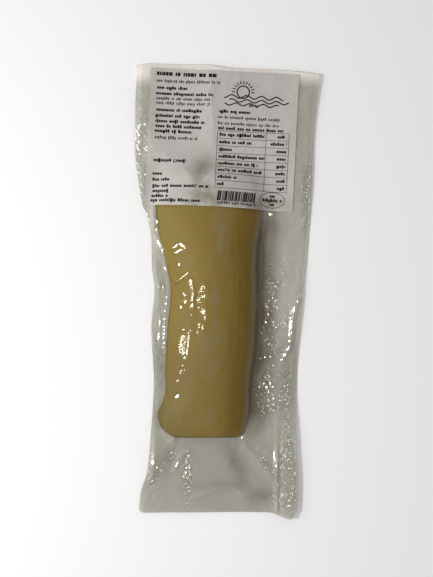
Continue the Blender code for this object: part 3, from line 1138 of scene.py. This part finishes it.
row_height = (TABLE["bottom"] - TABLE["top"]) / len(ENTRIES)
for row in range(len(ENTRIES) + 1):
    v = TABLE["top"] + row * row_height
    rule(TABLE["left"], v, TABLE["right"], v, THIN_RULE)
for edge in ("left", "divider", "right"):
    rule(TABLE[edge], TABLE["top"], TABLE[edge], TABLE["bottom"], THIN_RULE)
for row, (name_length, amount_length) in enumerate(ENTRIES):
    v = TABLE["top"] + (row + 0.5) * row_height + BASELINE
    type_line(TABLE["left"] + LEFT_MARGIN, v, name_length, "bold")
    type_line(TABLE["right"] - RIGHT_MARGIN - amount_length, v, amount_length, "bold")

STRIPES = {"from": 40.8, "to": 61.4, "top": 67.2, "foot": 72.6, "lean": 0.6, "caption": 74.4}
CAPTION_OUTDENT = 0.4
place = STRIPES["from"]
while place < STRIPES["to"]:
    wide = order_of_letters.choice((0.35, 0.4, 0.6, 0.9))
    rule(place, STRIPES["top"], place - STRIPES["lean"], STRIPES["foot"], wide)
    place += wide + order_of_letters.choice((0.2, 0.3, 0.45))
caption_start = STRIPES["from"] - CAPTION_OUTDENT
type_line(caption_start, STRIPES["caption"], STRIPES["to"] - STRIPES["from"], "thin")

OVAL = {"u": 70.4, "v": 70.2, "wide": 7.0, "tall": 4.3}


def ring(u, v, wide, tall, weight):
    """An oval line."""
    def path(share):
        return u + wide * math.cos(math.tau * share), v + tall * math.sin(math.tau * share)

    line(path, weight)


ring(OVAL["u"], OVAL["v"], OVAL["wide"], OVAL["tall"], OVAL_RULE)
for lower, length in ((-1.5, 2.8), (0.9, 11.2), (3.2, 2.4)):
    type_line(OVAL["u"] - length / 2, OVAL["v"] + lower, length, "bold")
print(len(ENTRIES), "rows in the table,", len(ink.faces), "faces of ink so far")

# %% A plain sun over waves
SUN = {"u": 51.5, "v": 11.4, "radius": 3.4, "rays": 11, "reach": (4.5, 6.2)}
SUN_RULE, RAY_RULE, WAVE_RULE = 0.7, 0.6, 0.65
CRESTS = 4
ring(SUN["u"], SUN["v"], SUN["radius"], SUN["radius"], SUN_RULE)
for ray in range(SUN["rays"]):
    angle = math.pi + math.pi * ray / (SUN["rays"] - 1)
    near, far = (Vector((math.cos(angle), math.sin(angle))) * reach for reach in SUN["reach"])
    rule(SUN["u"] + near.x, SUN["v"] + near.y, SUN["u"] + far.x, SUN["v"] + far.y, RAY_RULE)
# Each wave's left and right end, its level, and how far it swells.
WAVES = ((41.0, 74.0, 14.0, 0.9), (44.0, 77.0, 16.2, 0.8), (41.5, 71.5, 18.2, 0.7))
for first, last, level, swell in WAVES:
    line(lambda share: (first + (last - first) * share,
                        level + swell * math.sin(math.tau * CRESTS * share + level)), WAVE_RULE)
print(len(ink.faces), "faces of ink")

# %% Turn the stamps' marks into ink
bpy.ops.mesh.primitive_plane_add(size=1)
print_piece = named("label_print")
ink.to_mesh(print_piece.data)
ink.free()
for used in (block_stamp, rule_stamp):
    bpy.data.objects.remove(used)
thicken(print_piece, INK_THICKNESS)
on_whole_mesh(print_piece, bpy.ops.mesh.normals_make_consistent, inside=False)
print(print_piece.name, open_edges(print_piece))

# %% [markdown]
# ## The finish of the film
#
# Clear film shows only by what it mirrors. Where both sheets are welded or lie together they look
# grey and milky, and the back one is embossed with a lattice, which lets the air out while the
# pack is evacuated. Glass could be made with refraction, but a thin film hardly bends the light,
# so here it lets light straight through by its alpha, and the little that it mirrors is metallic.

# %% Shine of the clear film
FILM_MIRROR = 0.036
SHINY_MIRROR = 0.022
CLINGING = 0.4


def film_shine(film, place, wet, crackle):
    """1 where the film is stretched smooth, broken up into fine swirls where it's wet."""
    swirl, fleck = film.cloud(place, 0.7, 3, 0.5, 1.6) - 0.5, film.cloud(place, 1.9, 2)
    swirls = (swirl * swirl).rise(0.0004, 0.0016) * fleck.rise(0.38, 0.46)
    smooth = film.painted("gloss") + (crackle - 0.5) * (wet + 0.4) * 1.1
    return smooth.rise(0.4, 0.55) * (1 - wet * (1 - swirls))


def film_mirror(film, shine):
    """How much the film mirrors: more where it shines, and much more at a slant."""
    slant = film.add("ShaderNodeLayerWeight", sockets={"Blend": 0.5}, output=1)
    mirror = slant * slant * slant * slant * slant * (1 - FILM_MIRROR)
    return mirror + shine * (SHINY_MIRROR - CLINGING * FILM_MIRROR) + CLINGING * FILM_MIRROR


# %% Lattice, facets and ribs of the film
LATTICE_PITCH = 2.3
LATTICE_TURN = math.radians(33)
LATTICE_DEPTH = 0.11 * MM
CRACKLE_DEPTH = 0.17 * MM
RIB_PITCH = 1.2
RIB_DEPTH = 0.05 * MM
FACET_SIZE = 0.62
FACET_SPREAD = 0.2
FACET_SHARE = 0.26


def lattice_ridges(x, y):
    """Two crossing sets of narrow ridges, the second one lower."""
    along, across = math.cos(LATTICE_TURN), math.sin(LATTICE_TURN)
    ridges = []
    for side in (across, -across):
        wave = ((x * along + y * side) * (math.pi / LATTICE_PITCH)).sine()
        ridge = 1 - wave * wave
        ridges.append(ridge * ridge * ridge * ridge)
    return ridges[0] + ridges[1] * 0.7


def sparkles(film, share):
    """The height of small flat facets, in millimetres. This share of them lean to the lamp."""
    flat = film.stretched(film.place(), (PER_MM, PER_MM, 0))
    cells = {"Vector": flat, "Scale": 1 / FACET_SIZE}
    own = film.add("ShaderNodeTexVoronoi", sockets=cells, output="Color")
    middle = Number(film, own.socket.node.outputs["Position"])
    apart = film.add("ShaderNodeVectorMath", {"operation": "SUBTRACT"}, {0: flat, 1: middle})
    (x, y, _), (a, b, _), (red, green, blue) = film.axes(flat), film.axes(apart), film.axes(own)
    left = x * LEAN_LEFT[1] + LEAN_LEFT[0] + (red - 0.5) * FACET_SPREAD
    down = y * LEAN_DOWN[1] + LEAN_DOWN[0] + (green - 0.5) * FACET_SPREAD
    return (a * left + b * down) * (blue + share).rise(1, 1.01)


# %% The film's finishes
CLEAR = (1, 0.97, 0.82)
# The dark of brine and of painted shade on the seams.
BRINE_AND_SHADE = (0.147, 0.116, 0.064)
ROSY = (1.02, 0.98, 1.05)
ROSY_FROM = (-104, -112)
# The chalky white of the weld, which is also the colour of the painted light on the seams.
CHALK_AND_LIGHT = (0.98, 0.93, 0.88)
CHALK_FROM = (112, 121)
SEAM_MIRROR = 0.25
DULL, SATIN, SHINY = 0.68, 0.75, 0.1


def milky_colour(film, place, grey):
    """The grey of the seams, a little rosy in places, chalky in the weld at the head, lighter over the
    middle of the pack, and lighter on the left as painted light.
    """
    x, y, _ = film.axes(place)
    rosy = film.cloud(place, 0.04, 2).rise(0.5, 0.7) * 0.5 + y.rise(*ROSY_FROM) * 0.5
    tinted = film.blend(rosy, grey, tuple(level * share for level, share in zip(grey, ROSY)))
    # Lighter over the middle of the pack, and lighter on the left as painted light from the lamps' side.
    pale = y.rise(-60, 20) * y.rise(110, 50) * 0.18 + x.rise(-30, -46) * y.rise(-80, 0) * 0.1
    return film.blend(pale + y.rise(*CHALK_FROM) * 0.9, tinted, CHALK_AND_LIGHT)


def film_finish(name, grey, cover, clearest):
    """Clear film that turns milky on the seams. cover is how much it hides where it's milkiest."""
    film = Finish(name, IOR=1.5)
    place = film.stretched(film.place(), (PER_MM, PER_MM, PER_MM))
    x, y, _ = film.axes(place)
    seam, haze, brine_shade_share = film.painted("seam"), film.painted("haziness"), film.painted("brine_and_shade")
    wet, hatched = film.painted("wetness"), film.painted("hatch")
    crackle = film.cloud(place, 1.0, 3, 0.6, 0.8)
    shine = film_shine(film, place, wet, crackle)

    bossed, rough = hatched * seam, 1 - shine
    lattice = lattice_ridges(x, y) * bossed
    crackled = crackle * (wet + (hatched * 0.3 + 0.15) * seam)
    ribbed = (y * (math.tau / RIB_PITCH)).sine() * film.painted("ribs")
    bumps = film.relief(crackled * rough, CRACKLE_DEPTH)
    bumps = film.relief(sparkles(film, bossed * FACET_SHARE) * rough, MM, bumps)
    bumps = film.relief(lattice * rough, LATTICE_DEPTH, bumps)
    bumps = film.relief(ribbed, RIB_DEPTH, bumps)

    cloudy = film.cloud(place, 0.16, 4, 0.6) * 0.5 + film.cloud(place, 1.3, 2) * 0.2 + 0.65
    milk = (haze * (1 - clearest) + clearest).most(brine_shade_share * 0.9) * (cloudy + lattice * 0.35) * cover
    # Brine and painted shade darken the seams' grey.
    milky = film.blend(brine_shade_share, milky_colour(film, place, grey), BRINE_AND_SHADE)
    return film.give(
        Base_Color=film.blend(seam, CLEAR, milky),
        Metallic=seam * (SEAM_MIRROR - 1) + 1,
        Roughness=shine.most(hatched.rise(0.1, 0.5) * SATIN) * (SHINY - DULL) + DULL,
        Alpha=film_mirror(film, shine) + seam * milk,
        Normal=bumps,
    )


FILM_FINISHES = (
    # name, grey, cover, clearest
    film_finish("clear film front", (0.636, 0.608, 0.505), 0.55, 0.3),
    film_finish("embossed film back", (0.34, 0.325, 0.262), 0.62, 1.0),
)
for slot, finish in zip(film.material_slots, FILM_FINISHES):
    slot.material = finish
print("film has", [slot.material.name for slot in film.material_slots])

# %% [markdown]
# ## The finish of the flesh
#
# Salted cod dries to a waxy amber. Its fibres run along the loin, salt blooms on it as a grey
# cloud, and it's browner and redder down its right flank, which is also darker as painted shade.
# Its lower left is painted darker as shade, and a dark rim of painted shade runs round its edges.
# All of that is mixed from soft noises, stretched along the fibres, over two numbers that say
# how far across and along a spot lies.

# %% Cod flesh
AMBER, OLIVE, PALE = (0.222, 0.146, 0.025), (0.208, 0.150, 0.026), (0.260, 0.190, 0.055)
STRAW, BROWN_AND_SHADE, RUST = (0.226, 0.169, 0.033), (0.175, 0.107, 0.013), (0.175, 0.085, 0.010)
BLOOM, RIM_SHADE, SHADED = (0.228, 0.184, 0.126), (0.090, 0.062, 0.006), (0.120, 0.098, 0.024)
LOWER_LEFT_SHADE = (0.162, 0.117, 0.032)
POCK_DEPTH, FIBRE_DEPTH = 0.14 * MM, 0.10 * MM


def cod_finish():
    """Amber flesh with fibres and head, painted shade low on the left and on the brown flank, rust, salt
    bloom, and a rim of painted shade.
    """
    flesh = Finish("cod flesh", IOR=1.3, Specular_IOR_Level=0.2)
    place = flesh.place()
    across, along = flesh.painted("across"), flesh.painted("along")
    fibres = flesh.cloud(flesh.stretched(place, (1500, 70, 1500)), 1.0, 3, 0.6)
    streaks = flesh.cloud(flesh.stretched(place, (300, 40, 300)), 1.0, 3, 0.55)
    patches = flesh.cloud(flesh.stretched(place, (110, 62, 110)), 1.0, 3, 0.55)
    mottle = flesh.cloud(flesh.stretched(place, (330, 210, 330)), 1.0, 4, 0.6, 0.6)

    colour = flesh.blend((patches + streaks * 0.4 + mottle * 0.3).rise(0.72, 0.98), AMBER, OLIVE)
    colour = flesh.blend(fibres.rise(0.35, 0.75) * 0.2, colour, PALE)
    head_left = (across * 0.8 + along * -1 + patches * 0.3).rise(-0.35, -0.72)
    colour = flesh.blend(head_left * 0.75, colour, STRAW)
    # Painted shade: darker towards the loin's lower left.
    colour = flesh.blend(along.rise(0.55, 0.2) * across.rise(0.7, 0.1) * 0.8, colour, LOWER_LEFT_SHADE)
    # The right flank is browner, and darker still as painted shade where it turns from the lamps.
    flank = (across + (streaks - 0.5) * 0.3 + (patches - 0.5) * 0.2).rise(0.66, 0.88)
    colour = flesh.blend(flank * 0.85, colour, BROWN_AND_SHADE)
    rusty = (mottle + flank * 0.08).rise(0.54, 0.66) * across.rise(0.45, 0.8)
    colour = flesh.blend(rusty * 0.4, colour, RUST)
    middle = across + along * -0.12 - 0.53 + (patches - 0.5) * 0.3
    bloom = (middle * middle).rise(0.02, 0.0) * (patches + streaks * 0.25).rise(0.5, 0.8)
    colour = flesh.blend(bloom * 0.5, colour, BLOOM)
    colour = flesh.blend(flesh.painted("lobe") * 0.6, colour, SHADED)
    # A dark rim of painted shade along the loin's edges, where it meets the film and the table.
    rim = across.rise(0.03, 0.0).most(across.rise(0.97, 1.0)).most(along.rise(0.012, 0.0))
    colour = flesh.blend(rim * 0.75, colour, RIM_SHADE)
    bumps = flesh.relief(fibres, FIBRE_DEPTH, flesh.relief(mottle, POCK_DEPTH))
    return flesh.give(Base_Color=colour, Roughness=mottle * 0.2 + 0.34, Normal=bumps)


cod.data.materials.append(cod_finish())
print(cod.name, "has", cod.data.materials[0].name)

# %% [markdown]
# ## The finishes of the paper and the ink
#
# The label is uncoated paper under matt black ink. Paper isn't evenly white: its pulp is cloudy,
# and its surface has a fine tooth. Ink lies on it unevenly too, a little greyer in places.

# %% Paper and ink
PAPER, PAPER_SHADE, DARKER_PAPER = (0.515, 0.488, 0.455), (0.475, 0.448, 0.415), (0.25, 0.232, 0.18)
INK, INK_GREY = (0.005, 0.004, 0.004), (0.020, 0.019, 0.018)
TOOTH_DEPTH = 0.05 * MM


def paper_finish():
    """Matt paper with cloudy pulp, darker and more olive in a few patches."""
    sheet = Finish("label paper", IOR=1.4)
    place = sheet.place()
    pulp = sheet.cloud(place, 420, 4, 0.6)
    tooth = sheet.cloud(place, 3200, 3, 0.6)
    colour = sheet.blend(pulp.rise(0.3, 0.7), PAPER, PAPER_SHADE)
    darker_patches = sheet.painted("darker_patches") * sheet.cloud(place, 90, 3, 0.6).rise(0.3, 0.6)
    colour, bumps = sheet.blend(darker_patches, colour, DARKER_PAPER), sheet.relief(tooth, TOOTH_DEPTH)
    return sheet.give(Base_Color=colour, Roughness=pulp * 0.2 + 0.65, Normal=bumps)


def ink_finish():
    """Matt black ink that doesn't cover quite evenly."""
    black = Finish("label ink", IOR=1.2)
    cover = black.cloud(black.place(), 900, 3, 0.6)
    colour = black.blend(cover.rise(0.35, 0.75), INK, INK_GREY)
    return black.give(Base_Color=colour, Roughness=cover * 0.3 + 0.4)


paper.data.materials.append(paper_finish())
print_piece.data.materials.append(ink_finish())
print("label has", [piece.data.materials[0].name for piece in (paper, print_piece)])

# %% [markdown]
# ## The studio
#
# The pack lies on a pale table and the camera looks straight down on it. A small lamp on the left
# makes the glints on the film, a weaker one that hangs lower lights the forms from their side, and
# a grey sky fills the shadows.

# %% Table, lamps and sky
LAMPS = {
    # name: (tilt to the left in degrees, distance and side in metres, place along the pack, watts)
    "high_lamp": (42, 0.7, 0.09, -0.055, 2.7),
    "low_lamp": (64, 0.9, 0.06, 0.01, 0.5),
}
SKY_POLE = (math.sin(math.radians(18)), 0, math.cos(math.radians(18)))
SKY_STOPS = ((0.30, 0.80), (0.70, 0.52), (0.92, 0.20))
TABLE_GREY = (0.93, 0.93, 0.92)


def lamp(name, tilt, away, side, y, power):
    """A square lamp on the pack's left that faces it. Tilt is measured from straight above."""
    tilt = math.radians(tilt)
    place = (-away * math.sin(tilt), y, away * math.cos(tilt))
    bpy.ops.object.light_add(type="AREA", location=place, rotation=(0, -tilt, 0))
    light = named(name)
    light.data.size = side
    light.data.energy = power


def sky():
    """Grey light from all round, darkest a little right of straight above."""
    world = bpy.data.worlds.new("sky")
    world.use_nodes = True
    nodes, links = world.node_tree.nodes, world.node_tree.links
    where = nodes.new("ShaderNodeTexCoord")
    pole = nodes.new("ShaderNodeVectorMath")
    pole.operation = "DOT_PRODUCT"
    pole.inputs[1].default_value = SKY_POLE
    ramp = nodes.new("ShaderNodeValToRGB")
    stops = ramp.color_ramp.elements
    while len(stops) < len(SKY_STOPS):
        stops.new(0.5)
    for stop, (position, grey) in zip(stops, SKY_STOPS):
        stop.position, stop.color = position, (grey, grey, grey, 1)
    links.new(where.outputs["Generated"], pole.inputs[0])
    links.new(pole.outputs["Value"], ramp.inputs["Fac"])
    links.new(ramp.outputs["Color"], nodes["Background"].inputs["Color"])
    bpy.context.scene.world = world


for name, numbers in LAMPS.items():
    lamp(name, *numbers)
sky()
bpy.context.scene.view_settings.view_transform = "Standard"

bpy.ops.mesh.primitive_plane_add(size=4)
table = named("studio_table")
table_finish = Finish("pale table", Base_Color=TABLE_GREY, Roughness=0.9)
table.data.materials.append(table_finish.material)
table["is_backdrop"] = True
print(len(LAMPS), "lamps over", table.name)

# %% Camera
CAMERA_PLACE = Vector((-5.6, 1.7, 480)) * MM
VIEW_LENGTH = 320.6 * MM
SENSOR = 36

bpy.ops.object.camera_add(location=CAMERA_PLACE, rotation=(0, 0, 0))
camera = named("camera")
camera.data.sensor_width = SENSOR
camera.data.lens = SENSOR * CAMERA_PLACE.z / VIEW_LENGTH
bpy.context.scene.camera = camera
print("lens", round(camera.data.lens, 1), "mm")

# %% Hang the pieces on one body and hide the frame's solids
ROLES = ((film, "clear_film"), (cod, "cod_flesh"), (paper, "label_paper"), (print_piece, "label_ink"))
for piece, role in ROLES:
    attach(piece, "root")
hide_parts("vacuum_pouch")
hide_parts("vacuum_pouch")
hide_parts("paper_label")
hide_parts("paper_label")

# %% The sizes of the frame's solids and of what is drawn
SIZES = {"cad": CAD_BOX, "visual": [list(corner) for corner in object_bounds()]}
for name, (low, high) in SIZES.items():
    print(name, [round((b - a) / MM, 1) for a, b in zip(low, high)], "mm")
